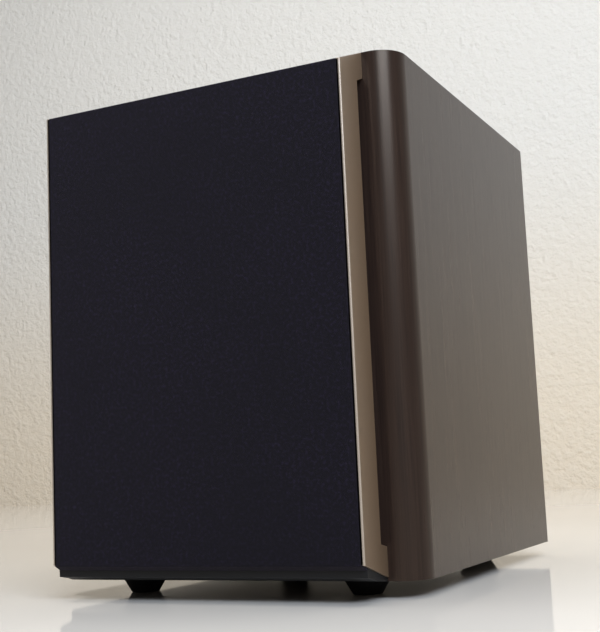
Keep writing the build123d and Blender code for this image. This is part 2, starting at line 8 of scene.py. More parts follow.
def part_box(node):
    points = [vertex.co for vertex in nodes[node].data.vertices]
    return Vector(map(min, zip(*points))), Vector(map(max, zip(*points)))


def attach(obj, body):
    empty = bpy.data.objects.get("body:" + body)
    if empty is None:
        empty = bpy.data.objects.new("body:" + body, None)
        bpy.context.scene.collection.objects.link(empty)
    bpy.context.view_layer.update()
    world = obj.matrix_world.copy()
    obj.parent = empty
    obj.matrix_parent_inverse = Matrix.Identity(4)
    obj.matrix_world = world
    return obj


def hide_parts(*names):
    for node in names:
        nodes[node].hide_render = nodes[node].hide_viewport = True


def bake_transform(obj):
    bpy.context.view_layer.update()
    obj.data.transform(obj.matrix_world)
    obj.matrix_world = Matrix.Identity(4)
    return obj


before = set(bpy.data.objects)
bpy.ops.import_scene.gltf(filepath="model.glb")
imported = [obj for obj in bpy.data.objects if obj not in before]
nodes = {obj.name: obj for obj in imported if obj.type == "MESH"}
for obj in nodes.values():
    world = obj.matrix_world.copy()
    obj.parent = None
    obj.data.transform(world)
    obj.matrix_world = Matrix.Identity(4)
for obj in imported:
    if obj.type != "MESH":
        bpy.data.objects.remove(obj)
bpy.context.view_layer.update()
MM = 0.001

# --- Camera ----------------------------------------------------------------------------
# A hand-held view from low in front, to the right of the object and a little upwards,
# with the slight roll that such a view has.

EYE = Vector((0.39594, -0.83054, 0.08829))
EYE_RIGHT = Vector((0.8962, 0.4415, -0.0439))
EYE_DOWN = Vector((-0.0961, 0.0966, -0.9907))
EYE_AHEAD = Vector((-0.4331, 0.8921, 0.1290))
LENS = 64.65

lens = bpy.data.cameras.new("viewpoint")
lens.lens = LENS
lens.sensor_width = 36
lens.clip_start = 0.01
camera = bpy.data.objects.new("viewpoint", lens)
bpy.context.scene.collection.objects.link(camera)
turn = Matrix((EYE_RIGHT, -EYE_DOWN, -EYE_AHEAD)).transposed()
camera.matrix_world = Matrix.Translation(EYE) @ turn.to_4x4()
bpy.context.scene.camera = camera


# --- Floor, backdrop and light ---------------------------------------------------------
# A pale lacquered shelf top in front of a pale plaster backdrop, whose colour turns warmer towards
# the bottom as painted warm shade. A wide soft light stands to the right of the front, one hangs
# overhead, and the backdrop is washed from above.


class Wire:
    """A node's output. Arithmetic on it adds Math nodes."""

    def __init__(self, finish, socket):
        self.finish = finish
        self.socket = socket

    def out(self, name):
        return Wire(self.finish, self.socket.node.outputs[name])

    def math(self, operation, *others):
        return self.finish.add("ShaderNodeMath", {"operation": operation}, self, *others)

    def __add__(self, other):
        return self.math("ADD", other)

    def __radd__(self, other):
        return self.math("ADD", other)

    def __sub__(self, other):
        return self.math("SUBTRACT", other)

    def __rsub__(self, other):
        return self.finish.add("ShaderNodeMath", {"operation": "SUBTRACT"}, other, self)

    def __mul__(self, other):
        return self.math("MULTIPLY", other)

    def __rmul__(self, other):
        return self.math("MULTIPLY", other)

    def __gt__(self, other):
        return self.math("GREATER_THAN", other)

    def sin(self):
        return self.math("SINE")

    def floor(self):
        return self.math("FLOOR")

    def size(self):
        return self.math("ABSOLUTE")

    def parity(self):
        return self.math("FLOORED_MODULO", 2.0)

    def high(self, other):
        return self.math("MAXIMUM", other)

    def spread(self, low, high, to_low=0.0, to_high=1.0):
        """The value between low and high, carried smoothly to a new range."""
        settings = {"interpolation_type": "SMOOTHSTEP"}
        return self.finish.add("ShaderNodeMapRange", settings, self, low, high, to_low, to_high)


class Finish:
    """One material, with a Principled surface that the helpers feed."""

    def __init__(self, name, **constants):
        self.material = bpy.data.materials.new(name)
        self.material.use_nodes = True
        self.tree = self.material.node_tree
        self.tree.nodes.clear()
        self.surface = self.tree.nodes.new("ShaderNodeBsdfPrincipled")
        target = self.tree.nodes.new("ShaderNodeOutputMaterial")
        self.tree.links.new(self.surface.outputs[0], target.inputs[0])
        for socket, value in constants.items():
            self.surface.inputs[socket.replace("_", " ")].default_value = value

    def add(self, kind, settings, *values, **named):
        """A node of one kind: its settings first, then values or wires for its live inputs."""
        node = self.tree.nodes.new(kind)
        for key, value in settings.items():
            setattr(node, key, value)
        for socket, value in zip([s for s in node.inputs if s.enabled], values):
            self.feed(socket, value)
        for name, value in named.items():
            self.feed(node.inputs[name], value)
        return Wire(self, next(s for s in node.outputs if s.enabled))

    def feed(self, socket, value):
        if isinstance(value, Wire):
            self.tree.links.new(value.socket, socket)
        elif socket.type == "RGBA":
            socket.default_value = (*value, 1)
        else:
            socket.default_value = value

    def set(self, socket, wire):
        self.feed(self.surface.inputs[socket], wire)

    def place(self):
        """Object coordinates, in metres."""
        return self.add("ShaderNodeTexCoord", {}).out("Object")

    def split(self, vector):
        """The X, Y and Z of a vector."""
        parts = self.add("ShaderNodeSeparateXYZ", {}, vector)
        return parts, parts.out("Y"), parts.out("Z")

    def scaled(self, vector, scale):
        return self.add("ShaderNodeVectorMath", {"operation": "MULTIPLY"}, vector, scale)

    def noise(self, vector, scale, detail=3.0, roughness=0.55):
        """Noise from 0 to 1 at so many lumps a metre."""
        return self.add("ShaderNodeTexNoise", {}, Vector=vector, Scale=scale, Detail=detail,
                        Roughness=roughness)

    def mix(self, share, one, two, kind="RGBA"):
        """Colour between one and two, or the vector between them if the kind says so."""
        return self.add("ShaderNodeMix", {"data_type": kind}, share, one, two)

    def bump(self, height, depth, strength=1.0):
        """Height from 0 to 1 as a relief of so many metres."""
        bump = self.add("ShaderNodeBump", {}, Strength=strength, Distance=depth, Height=height)
        self.set("Normal", bump)


def srgb(*channels):
    """Linear colour from the usual 0 to 255 values."""
    shares = [c / 255 for c in channels]
    return tuple(s / 12.92 if s < 0.043 else ((s + 0.055) / 1.055) ** 2.4 for s in shares)


def new_piece(name, bm, material, body=None):
    """Mesh object from a bmesh, on a body of the frame if one is named."""
    mesh = bpy.data.meshes.new(name)
    bm.to_mesh(mesh)
    bm.free()
    piece = bpy.data.objects.new(name, mesh)
    bpy.context.scene.collection.objects.link(piece)
    mesh.materials.append(material)
    if body:
        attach(piece, body)
    return piece


SIDE, FRONT, BACK = 4.0, -4.0, 1.9
WALL_H = 4.5
WARM_SHADE_LOW, WARM_SHADE_HIGH = 0.05, 0.95
SHELF_DARK, SHELF_PALE = srgb(228, 221, 211), srgb(234, 228, 219)
PLASTER_WARM_SHADE, PLASTER_COOL = srgb(232, 218, 196), srgb(224, 222, 217)
PLASTER_FLECK = srgb(226, 222, 214)
PLASTER_RELIEF = 8 * MM
DAYLIGHT = (0.74, 0.84, 1.0)
WASH_LIGHT = (1.0, 0.99, 0.96)
BOUNCE_LIGHT = (1.0, 0.97, 0.93)
ROOM_LIGHT = (1.0, 0.97, 0.92)
ROOM_STRENGTH = 0.18

shelf_finish = Finish("pale_shelf_lacquer", Roughness=0.06, IOR=1.18)
cloud = shelf_finish.noise(shelf_finish.place(), 3.0)
shelf_finish.set("Base Color", shelf_finish.mix(cloud, SHELF_DARK, SHELF_PALE))
bm = bmesh.new()
corners = ((-SIDE, FRONT), (SIDE, FRONT), (SIDE, BACK), (-SIDE, BACK))
bm.faces.new([bm.verts.new((x, y, 0)) for x, y in corners])
new_piece("floor", bm, shelf_finish.material)

wall_finish = Finish("pale_plaster", Roughness=0.85)
grain = wall_finish.noise(wall_finish.place(), 75.0, 4.0)
# Painted warm shade: the plaster colour turns warmer towards the bottom of the backdrop.
rise = wall_finish.split(wall_finish.place())[2].spread(WARM_SHADE_LOW, WARM_SHADE_HIGH)
plaster = wall_finish.mix(rise, PLASTER_WARM_SHADE, PLASTER_COOL)
wall_finish.set("Base Color", wall_finish.mix(grain * 0.3, plaster, PLASTER_FLECK))
wall_finish.bump(grain, PLASTER_RELIEF, 0.9)
bm = bmesh.new()
corners = ((-SIDE, 0), (SIDE, 0), (SIDE, WALL_H), (-SIDE, WALL_H))
bm.faces.new([bm.verts.new((x, BACK, z)) for x, z in corners])
new_piece("backdrop", bm, wall_finish.material)


def soft_light(name, place, aim, size, watts, colour=(1, 1, 1)):
    """Rectangular soft light at a place, facing a point."""
    lamp = bpy.data.lights.new(name, "AREA")
    lamp.shape = "RECTANGLE"
    lamp.size, lamp.size_y = size
    lamp.energy = watts
    lamp.color = colour
    rig = bpy.data.objects.new(name, lamp)
    bpy.context.scene.collection.objects.link(rig)
    rig.location = place
    rig.rotation_euler = (Vector(aim) - Vector(place)).to_track_quat("-Z", "Y").to_euler()


soft_light("window", place=(1.42, -1.65, 1.5), aim=(0.1, 0, 0.35), size=(1.4, 0.85), watts=68,
           colour=DAYLIGHT)
soft_light("wall_wash", place=(0.0, 0.5, 1.7), aim=(0.0, BACK, 0.35), size=(4.6, 0.6), watts=14,
           colour=WASH_LIGHT)
soft_light("side_bounce", place=(2.4, 1.3, 0.8), aim=(0, 0.1, 0.2), size=(1.6, 1.6), watts=1.5,
           colour=BOUNCE_LIGHT)
soft_light("ceiling", place=(-0.2, -0.4, 2.8), aim=(-0.2, -0.4, 0), size=(3.2, 2.0), watts=52)

world = bpy.data.worlds.new("room")
world.use_nodes = True
room_light = world.node_tree.nodes["Background"]
room_light.inputs["Color"].default_value = (*ROOM_LIGHT, 1)
room_light.inputs["Strength"].default_value = ROOM_STRENGTH
bpy.context.scene.world = world
bpy.context.scene.view_settings.view_transform = "Standard"


# --- Cabinet wrap ----------------------------------------------------------------------
# Fibreboard panels folded from one wrapped sheet, so the woodgrain vinyl runs unbroken
# round the sides, top, underside and rounded front posts. The grain stands upright.

WRAPPED = ("side_panel_left", "side_panel_right", "top_panel", "bottom_panel")
POST_ROUND = 20 * MM
POST_STEPS = 18
PANEL = 15 * MM
ARRIS, ARRIS_STEPS = 0.7 * MM, 3
NODE_ARRIS, NODE_STEPS = 0.3 * MM, 2
CORNER = radians(35)
TOUCH = 1e-6
UMBER_DARK = srgb(34, 25, 22)
UMBER = srgb(43, 32, 27)
UMBER_LIGHT = srgb(52, 40, 34)
PORE = srgb(25, 19, 17)
SATIN_TINT = (1.0, 0.83, 0.66, 1)
ALONG_GRAIN = 0.016
LYING = 0.7


def reach(*names):
    """Lowest and highest corner of several nodes together."""
    boxes = [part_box(n) for n in names]
    low = Vector([min(b[0][k] for b in boxes) for k in range(3)])
    high = Vector([max(b[1][k] for b in boxes) for k in range(3)])
    return low, high


def soft_edges(piece, width, segments):
    """Small rounded arrises."""
    bevel = piece.modifiers.new("arris", "BEVEL")
    bevel.width = width
    bevel.segments = segments
    bevel.limit_method = "ANGLE"
    bevel.angle_limit = CORNER


def even_shading(piece):
    """Shading that keeps the flats flat."""
    flats = piece.modifiers.new("flats", "WEIGHTED_NORMAL")
    flats.keep_sharp = False


def smooth_faces(piece):
    for face in piece.data.polygons:
        face.use_smooth = True


def wenge():
    """Woodgrain vinyl: long fine fibres, darker pores and a satin top coat."""
    finish = Finish("wenge_vinyl", IOR=1.39)
    finish.surface.inputs["Specular Tint"].default_value = SATIN_TINT
    place = finish.place()
    facing = finish.add("ShaderNodeNewGeometry", {}).out("Normal")
    lying = finish.split(facing)[2].size() > LYING
    upright = finish.scaled(place, (1.0, 1.0, ALONG_GRAIN))
    along = finish.scaled(place, (1.0, ALONG_GRAIN, 1.0))
    grain = finish.mix(lying, upright, along, "VECTOR")
    fibres = finish.noise(grain, 950, 4.0, 0.6)
    bands = finish.noise(grain, 190, 3.0, 0.5)
    pores = finish.noise(finish.scaled(grain, (1, 1, 2.5)), 2300, 2.0, 0.5).spread(0.6, 0.72)
    tone = fibres * 0.7 + bands * 0.3
    colour = finish.mix(tone.spread(0.34, 0.54), UMBER_DARK, UMBER)
    colour = finish.mix(tone.spread(0.52, 0.68), colour, UMBER_LIGHT)
    colour = finish.mix(pores * 0.4, colour, PORE)
    finish.set("Base Color", colour)
    finish.set("Roughness", tone.spread(0.3, 0.7, 0.3, 0.27) + pores * 0.06)
    finish.bump(fibres * 0.7 - pores * 0.4, 0.015 * MM, 0.4)
    return finish.material


low, high = reach(*WRAPPED)
baffle_low, baffle_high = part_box("front_baffle")
bm = bmesh.new()
bmesh.ops.create_cube(bm, size=1)
bmesh.ops.scale(bm, vec=high - low, verts=bm.verts)
bmesh.ops.translate(bm, vec=(low + high) / 2, verts=bm.verts)
posts = [e for e in bm.edges if all(abs(v.co.y - low.y) < TOUCH for v in e.verts)
         and abs(e.verts[0].co.x - e.verts[1].co.x) < TOUCH]
bmesh.ops.bevel(bm, geom=posts, offset=POST_ROUND, segments=POST_STEPS, profile=0.5, affect="EDGES",
                material=-1)
ends = [f for f in bm.faces if abs(f.normal.y) > cos(radians(1))]
front = min(ends, key=lambda f: f.calc_center_median().y)
back = max(ends, key=lambda f: f.calc_center_median().y)
bmesh.ops.inset_individual(bm, faces=[front], thickness=PANEL, use_even_offset=True)
for vert in front.verts:
    vert.co.x = baffle_high.x if vert.co.x > 0 else baffle_low.x
    vert.co.z = baffle_high.z if vert.co.z > (low.z + high.z) / 2 else baffle_low.z
bmesh.ops.delete(bm, geom=[front, back], context="FACES_ONLY")
wrap = new_piece("cabinet_wrap", bm, wenge(), "cabinet")
walls = wrap.modifiers.new("board", "SOLIDIFY")
walls.thickness = PANEL
walls.offset = -1
walls.use_even_offset = True
soft_edges(wrap, ARRIS, ARRIS_STEPS)
even_shading(wrap)
smooth_faces(wrap)
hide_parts(*WRAPPED)


def dress(names, material, arris=NODE_ARRIS):
    """Gives CAD nodes a finish. An arris rounds their sharp edges, 0 only evens their shading,
    and None leaves them as they are."""
    for name in names:
        node = nodes[name]
        node.data.materials.clear()
        node.data.materials.append(material)
        if arris is None:
            continue
        weld = node.modifiers.new("weld", "WELD")
        weld.merge_threshold = TOUCH
        if arris:
            soft_edges(node, arris, NODE_STEPS)
        even_shading(node)


dress(["front_baffle"], wrap.data.materials[0], None)


def laminate():
    finish = Finish("black_laminate", IOR=1.45)
    speck = finish.noise(finish.place(), 1400, 2.0)
    finish.set("Base Color", finish.mix(speck, srgb(24, 24, 25), srgb(36, 36, 37)))
    finish.set("Roughness", speck.spread(0.3, 0.7, 0.5, 0.62))
    finish.bump(speck, 0.05 * MM, 0.7)
    return finish.material


def fibreboard():
    finish = Finish("raw_fibreboard", Roughness=0.9)
    place = finish.place()
    fleck = finish.noise(place, 900, 4.0, 0.7)
    finish.set("Base Color", finish.mix(fleck.spread(0.3, 0.7), srgb(150, 118, 80), srgb(196, 164, 122)))
    finish.bump(fleck, 0.15 * MM, 0.6)
    return finish.material


dress(["rear_panel"], laminate())
dress(["shelf_brace", "terminal_strip"], fibreboard())


# --- Champagne cheeks ------------------------------------------------------------------
# Moulded side blades with a champagne metallic lacquer. Each meets the cabinet only at a
# tab at its top and bottom, and its front arris frames the grille, with a painted highlight along it.

CHEEK_WALL = 3 * MM
CHEEK_RIM = 0.9 * MM
FRONT_ARRIS = 0.75 * MM
SLOT_DEPTH = 10 * MM
SLOT_LOW = 22 * MM
SLOT_LOW_FRONT = 24 * MM
SLOT_HIGH = 331.5 * MM
SLOT_HIGH_FRONT = 327.5 * MM
BLADE_FRONT_LOW = 13.5 * MM
BLADE_FRONT_HIGH = 335 * MM
REBATE = 5.8 * MM
BLADE_EDGE = 0.45 * MM
CHAMPAGNE_DEEP, CHAMPAGNE = srgb(107, 86, 64), srgb(136, 110, 84)
CHAMPAGNE_GREY = srgb(114, 103, 89)
PAINTED_ARRIS_HIGHLIGHT = srgb(176, 161, 144)


def champagne():
    """Metallic lacquer: fine flake, a warm base, a soft clear coat and a painted highlight on the front
    arris.
    """
    finish = Finish("champagne_lacquer", IOR=1.5, Coat_Roughness=0.36, Coat_IOR=1.6, Metallic=0.55)
    place = finish.place()
    flake = finish.noise(place, 5200, 2.0, 0.6)
    drift = finish.noise(place, 22, 2.0)
    colour = finish.mix(flake.spread(0.35, 0.65), CHAMPAGNE_DEEP, CHAMPAGNE)
    colour = finish.mix(drift * 0.25, colour, CHAMPAGNE_GREY)
    # Painted highlight: the front arris gets a pale colour that stands in for the light it reflects.
    behind_painted_highlight = finish.split(place)[1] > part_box("cheek_right")[0].y + FRONT_ARRIS
    finish.set("Base Color", finish.mix(behind_painted_highlight, PAINTED_ARRIS_HIGHLIGHT, colour))
    finish.set("Roughness", flake.spread(0.3, 0.7, 0.4, 0.5))
    finish.set("Coat Weight", 0.45 + drift * 0.2)
    finish.bump(flake, 0.012 * MM, 0.35)
    return finish.material


def at_arris(edge, outer, front):
    return all(abs(v.co.x - outer) < TOUCH and abs(v.co.y - front) < TOUCH for v in edge.verts)


def shift_x(bm, made, distance):
    """Moves the newly extruded points sideways."""
    verts = [g for g in made if isinstance(g, bmesh.types.BMVert)]
    bmesh.ops.translate(bm, vec=(distance, 0, 0), verts=verts)


def cheek(name, side, material):
    """Slanted blade outline, carried across the wall and rebated for the grille."""
    low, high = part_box(name)
    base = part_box("bottom_panel")[0].z
    outline = (
        (low.y, base + BLADE_FRONT_LOW),
        (high.y, low.z),
        (high.y, base + SLOT_LOW),
        (high.y - SLOT_DEPTH, base + SLOT_LOW_FRONT),
        (high.y - SLOT_DEPTH, base + SLOT_HIGH_FRONT),
        (high.y, base + SLOT_HIGH),
        (high.y, high.z),
        (low.y, base + BLADE_FRONT_HIGH),
    )
    outer = high.x if side > 0 else low.x
    bm = bmesh.new()
    blade = bm.faces.new([bm.verts.new((outer, y, z)) for y, z in outline])
    bmesh.ops.bisect_plane(bm, geom=[*bm.verts, *bm.edges, blade], plane_co=(0, low.y + REBATE, 0),
                           plane_no=(0, 1, 0))
    shift_x(bm, bmesh.ops.extrude_face_region(bm, geom=list(bm.faces))["geom"], -side * CHEEK_WALL)
    inner = outer - side * CHEEK_WALL
    lip = [f for f in bm.faces if abs(f.calc_center_median().x - inner) < TOUCH
           and f.calc_center_median().y < low.y + REBATE]
    step = bmesh.ops.extrude_face_region(bm, geom=lip)["geom"]
    bmesh.ops.delete(bm, geom=lip, context="FACES")
    shift_x(bm, step, side * (CHEEK_WALL - CHEEK_RIM))
    bmesh.ops.dissolve_limit(bm, angle_limit=radians(1), verts=bm.verts, edges=bm.edges)
    bmesh.ops.recalc_face_normals(bm, faces=bm.faces)
    front = [e for e in bm.edges if at_arris(e, outer, low.y)]
    bmesh.ops.bevel(bm, geom=front, offset=FRONT_ARRIS, segments=ARRIS_STEPS, profile=0.5,
                    affect="EDGES", material=-1)
    piece = new_piece(name + "_blade", bm, material, "cabinet")
    soft_edges(piece, BLADE_EDGE, ARRIS_STEPS)
    even_shading(piece)
    smooth_faces(piece)
    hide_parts(name)


lacquer = champagne()
cheek("cheek_right", 1, lacquer)
cheek("cheek_left", -1, lacquer)


# --- Bezel frame -----------------------------------------------------------------------
# Black moulded frame between the cheeks. Its chin hangs a little below them and its top
# lip follows their slant. Spark-eroded texture.

BEZEL_ARRIS = 0.5 * MM


def moulded(name, dark, light, rough, grain=1600, depth=0.03 * MM, ior=1.48):
    """Moulded plastic with a fine spark-eroded texture."""
    finish = Finish(name, IOR=ior)
    pit = finish.noise(finish.place(), grain, 2.0, 0.6)
    wear = finish.noise(finish.place(), 35, 3.0)
    colour = finish.mix(pit.spread(0.3, 0.7), srgb(*dark), srgb(*light))
    finish.set("Base Color", colour)
    finish.set("Roughness", rough + (wear - 0.5) * 0.12 + (pit - 0.5) * 0.08)
    finish.bump(pit, depth, 0.6)
    return finish.material


satin_black = moulded("satin_black_plastic", (13, 12, 13), (21, 20, 20), 0.55, ior=1.36)
dress(["bezel_frame"], satin_black, BEZEL_ARRIS)


# --- Grille ----------------------------------------------------------------------------
# Black woven cloth stretched over a moulded frame and turned round its edges. Rubber pegs
# on the frame's back hold it in the bezel.

CLOTH = 0.7 * MM
FOLD_R = 0.7 * MM
FOLD_STEPS = 5
FACE_DROP = 0.4 * MM
THREADS = 1150
GAP_BLACK, THREAD_BLACK = srgb(8, 6, 10), srgb(18, 15, 21)
THREAD_VIOLET, THREAD_DULL = srgb(29, 24, 38), srgb(14, 12, 16)
THREAD_SHEEN = (0.5, 0.44, 0.58, 1)
LINT = srgb(120, 122, 126)


def acoustic_cloth():
    """Plain weave of fine dull thread, with a scatter of pale lint."""
    finish = Finish("acoustic_cloth", Sheen_Weight=0.1, Sheen_Roughness=0.5, Specular_IOR_Level=0.15)
    finish.surface.inputs["Sheen Tint"].default_value = THREAD_SHEEN
    place = finish.place()
    x, y, z = finish.split(place)
    across, up = x * THREADS, (z - y) * THREADS
    weft = (across * pi).sin().size()
    warp = (up * pi).sin().size()
    over = (across.floor() + up.floor()).parity()
    thread = (weft * over).high(warp * (1 - over))
    patch = finish.noise(place, 420, 3.0, 0.6)
    drift = finish.noise(place, 14, 2.0)
    colour = finish.mix(thread, GAP_BLACK, THREAD_BLACK)
    colour = finish.mix(patch.spread(0.45, 0.75), colour, THREAD_VIOLET)
    colour = finish.mix(drift.spread(0.4, 0.7) * 0.4, colour, THREAD_DULL)
    fluff = finish.noise(place, 260, 5.0, 0.75).spread(0.79, 0.82)
    finish.set("Base Color", finish.mix(fluff * 0.5, colour, LINT))
    finish.set("Roughness", 0.86 + thread * 0.1)
    finish.bump(thread * 0.8 + patch * 0.2, 0.16 * MM, 0.8)
    return finish.material


low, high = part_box("grille_cloth")
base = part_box("bottom_panel")[0].z
face_low = base + BLADE_FRONT_LOW - FACE_DROP
face_high = base + BLADE_FRONT_HIGH
bm = bmesh.new()


def ring(y, bottom, top):
    """Four points round the grille at one depth."""
    corners = ((low.x, bottom), (high.x, bottom), (high.x, top), (low.x, top))
    return [bm.verts.new((x, y, z)) for x, z in corners]


back_ring = ring(high.y, low.z, high.z)
front_ring = ring(low.y, face_low, face_high)
bm.faces.new(front_ring)
for k in range(4):
    bm.faces.new([back_ring[k], back_ring[(k + 1) % 4], front_ring[(k + 1) % 4], front_ring[k]])
bmesh.ops.recalc_face_normals(bm, faces=bm.faces)
folds = [e for e in bm.edges if any(v in front_ring for v in e.verts)]
bmesh.ops.bevel(bm, geom=folds, offset=FOLD_R, segments=FOLD_STEPS, profile=0.5, affect="EDGES",
                material=-1, clamp_overlap=True)
cloth = new_piece("grille_cloth_stretched", bm, acoustic_cloth(), "grille")
skin = cloth.modifiers.new("cloth", "SOLIDIFY")
skin.thickness = CLOTH
skin.offset = -1
smooth_faces(cloth)
even_shading(cloth)
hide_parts("grille_cloth")

rubber = moulded("dull_rubber", (20, 20, 20), (29, 29, 29), 0.75, 700, 0.06 * MM)
dress(["grille_frame"], satin_black)
dress(["grille_pegs"], rubber)


# --- Feet ------------------------------------------------------------------------------
# Four tapered moulded feet, each held by a zinc-plated screw up its middle. The other
# screws of the front are plated in the same way.

FOOT_ARRIS = 0.8 * MM
SMALL_ARRIS = 0.2 * MM

dress(["feet"], moulded("foot_plastic", (14, 14, 14), (23, 23, 23), 0.5), FOOT_ARRIS)


def plated(name, colour, rough, metallic=1.0):
    """Plated or bare metal with fine handling marks."""
    finish = Finish(name, Metallic=metallic)
    place = finish.place()
    scuff = finish.noise(finish.scaled(place, (1, 1, 0.2)), 900, 4.0, 0.7)
    film = finish.noise(place, 60, 2.0)
    shade = tuple(c * 0.75 for c in srgb(*colour))
    finish.set("Base Color", finish.mix(scuff.spread(0.3, 0.7), shade, srgb(*colour)))
    finish.set("Roughness", rough + (film - 0.5) * 0.15 + (scuff - 0.5) * 0.1)
    finish.bump(scuff, 0.01 * MM, 0.4)
    return finish.material


zinc = plated("zinc_plate", (190, 192, 190), 0.35)
dark_oxide = plated("dark_oxide", (52, 52, 55), 0.42)
dress(["foot_screws", "bezel_screws"], zinc, SMALL_ARRIS)


# --- Woofer ----------------------------------------------------------------------------
# Eight-inch driver behind the grille: pressed basket, rubber half-roll edge, pulp cone and
# dust cap, coil on an amber former, ferrite magnet between zinc-plated steel plates.

WIRE_WAVE = 3300


def pulp():
    finish = Finish("coated_pulp", Roughness=0.7, IOR=1.45)
    place = finish.place()
    hair = finish.noise(finish.scaled(place, (1, 1, 3)), 420, 5.0, 0.7)
    finish.set("Base Color", finish.mix(hair.spread(0.35, 0.7), srgb(26, 26, 27), srgb(52, 51, 50)))
    finish.bump(hair, 0.12 * MM, 0.8)
    return finish.material


def powder_coat(name, dark, light):
    finish = Finish(name, IOR=1.5)
    peel = finish.noise(finish.place(), 1100, 2.0, 0.5)
    finish.set("Base Color", finish.mix(peel, srgb(*dark), srgb(*light)))
    finish.set("Roughness", 0.42 + peel * 0.2)
    finish.bump(peel, 0.05 * MM, 0.6)
    return finish.material


def enamelled_wire():
    """Close turns of copper wire laid side by side round the former."""
    finish = Finish("enamelled_copper", Metallic=0.9, Roughness=0.3)
    turns = (finish.split(finish.place())[1] * WIRE_WAVE).sin() * 0.5 + 0.5
    finish.set("Base Color", finish.mix(turns, srgb(110, 48, 20), srgb(205, 112, 58)))
    finish.bump(turns, 0.1 * MM, 0.9)
    return finish.material


def woven(name, dark, light, wave, rough=0.9):
    """A coarse weave of threads that run along X and Z."""
    finish = Finish(name, Roughness=rough)
    x, _, z = finish.split(finish.place())
    weave = (x * wave).sin() * (z * wave).sin() * 0.5 + 0.5
    finish.set("Base Color", finish.mix(weave, srgb(*dark), srgb(*light)))
    finish.bump(weave, 0.1 * MM, 0.7)
    return finish.material


steel_black = powder_coat("black_powder_coat", (24, 24, 25), (37, 37, 38))
dress(["basket"], steel_black)
dress(["basket_gasket", "trim_ring"], rubber)
dress(["cone", "dust_cap"], pulp(), 0)
dress(["woofer_screws"], dark_oxide, SMALL_ARRIS)
dress(["coil_former"], moulded("amber_polyimide", (120, 58, 12), (150, 78, 20), 0.3), 0)
dress(["coil_winding"], enamelled_wire(), 0)
dress(["top_plate", "pole_yoke"], zinc)
dress(["magnet_ring"], moulded("sintered_ferrite", (50, 50, 52), (74, 74, 76), 0.62, 900, 0.08 * MM))
dress(["port_tube"], satin_black)


# --- Flexing parts of the woofer -------------------------------------------------------
# The rubber edge, the corrugated spider and the two braided leads join the cone at one end
# and the basket at the other. The round parts are built as sectors.

SECTORS = 16
SECTOR_STEPS = 8
ROLL_R = 84 * MM
ROLL_OUT, ROLL_IN = 6.6 * MM, 5.4 * MM
ROLL_STEPS = 12
ROLL_BORE = 73.6 * MM
ROLL_BEND = 77.5 * MM, 89 * MM
LIP = 1.2 * MM
SPIDER_WALL, SPIDER_SWELL, SPIDER_FOLDS = 0.9 * MM, 1.5 * MM, 10
SPIDER_IN, SPIDER_OUT = 29 * MM, 51 * MM
SPIDER_BORE, SPIDER_SEAT = 25.6 * MM, 52.4 * MM
SPIDER_BEND = 28 * MM, 52 * MM
SHARP = radians(50)
RESIN_WAVE = 3000
BRAID_R = 0.6 * MM
BRAID_STRAIGHT = 15.4 * MM
BRAID_SLACK = 11.6 * MM, 12 * MM


def edge_profile(low, high):
    """Outline of the half-roll edge as (radius, y), from its box."""
    outer = (high.x - low.x) / 2
    turns = [pi * k / ROLL_STEPS for k in range(ROLL_STEPS + 1)]
    rise = [t for t in turns if ROLL_OUT * sin(t) > LIP]
    front = [(ROLL_R - ROLL_OUT * cos(t), high.y - ROLL_OUT * sin(t)) for t in rise]
    back = [(ROLL_R + ROLL_IN * cos(t), high.y - ROLL_IN * sin(t)) for t in turns]
    start = [(ROLL_BORE, high.y), (ROLL_BORE, high.y - LIP)]
    end = [(outer, high.y - LIP), (outer, high.y)]
    return start + front + end + back


def spider_profile(low, high):
    """Outline of the corrugated disc as (radius, y), from its box."""
    seat, outer = low.y + SPIDER_SWELL, (high.x - low.x) / 2
    pitch = (SPIDER_OUT - SPIDER_IN) / SPIDER_FOLDS
    swells = [SPIDER_SWELL if k % 2 else -SPIDER_SWELL for k in range(SPIDER_FOLDS + 1)]
    folds = [(SPIDER_IN + pitch * k, seat + swell) for k, swell in enumerate(swells)]
    line = [(SPIDER_BORE, seat)] + folds + [(SPIDER_SEAT, seat), (outer, seat)]
    return line + [(r, y + SPIDER_WALL) for r, y in reversed(line)]


def sectors(node, name, profile, material, bend):
    """A ring in sectors, each one the profile turned through its share of the ring."""
    low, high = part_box(node)
    axis_x, axis_z = (low.x + high.x) / 2, (low.z + high.z) / 2
    outline = profile(low, high)
    count = len(outline)

    def spot(radius, y, turn):
        return axis_x + radius * cos(turn), y, axis_z + radius * sin(turn)

    for k in range(SECTORS):
        bm = bmesh.new()
        rings = []
        for step in range(SECTOR_STEPS + 1):
            turn = 2 * pi * (k + step / SECTOR_STEPS) / SECTORS
            rings.append([bm.verts.new(spot(r, y, turn)) for r, y in outline])
        for one, two in zip(rings, rings[1:]):
            for j in range(count):
                bm.faces.new((one[j], one[(j + 1) % count], two[(j + 1) % count], two[j]))
        bm.faces.new(rings[0])
        bm.faces.new(rings[-1])
        bmesh.ops.recalc_face_normals(bm, faces=bm.faces)
        for face in bm.faces:
            face.smooth = True
        for edge in bm.edges:
            edge.smooth = edge.calc_face_angle() < SHARP
        piece = new_piece(f"{name}_{k + 1:02}", bm, material)
        middle = 2 * pi * (k + 0.5) / SECTORS
        ends = [spot(r, high.y, middle) for r in bend]
        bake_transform(piece)
        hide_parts(node)


sectors("surround", "roll_edge", edge_profile, rubber, ROLL_BEND)
resin_cloth = woven("resin_cloth", (150, 104, 44), (190, 142, 70), RESIN_WAVE)
sectors("spider", "spider_fold", spider_profile, resin_cloth, SPIDER_BEND)

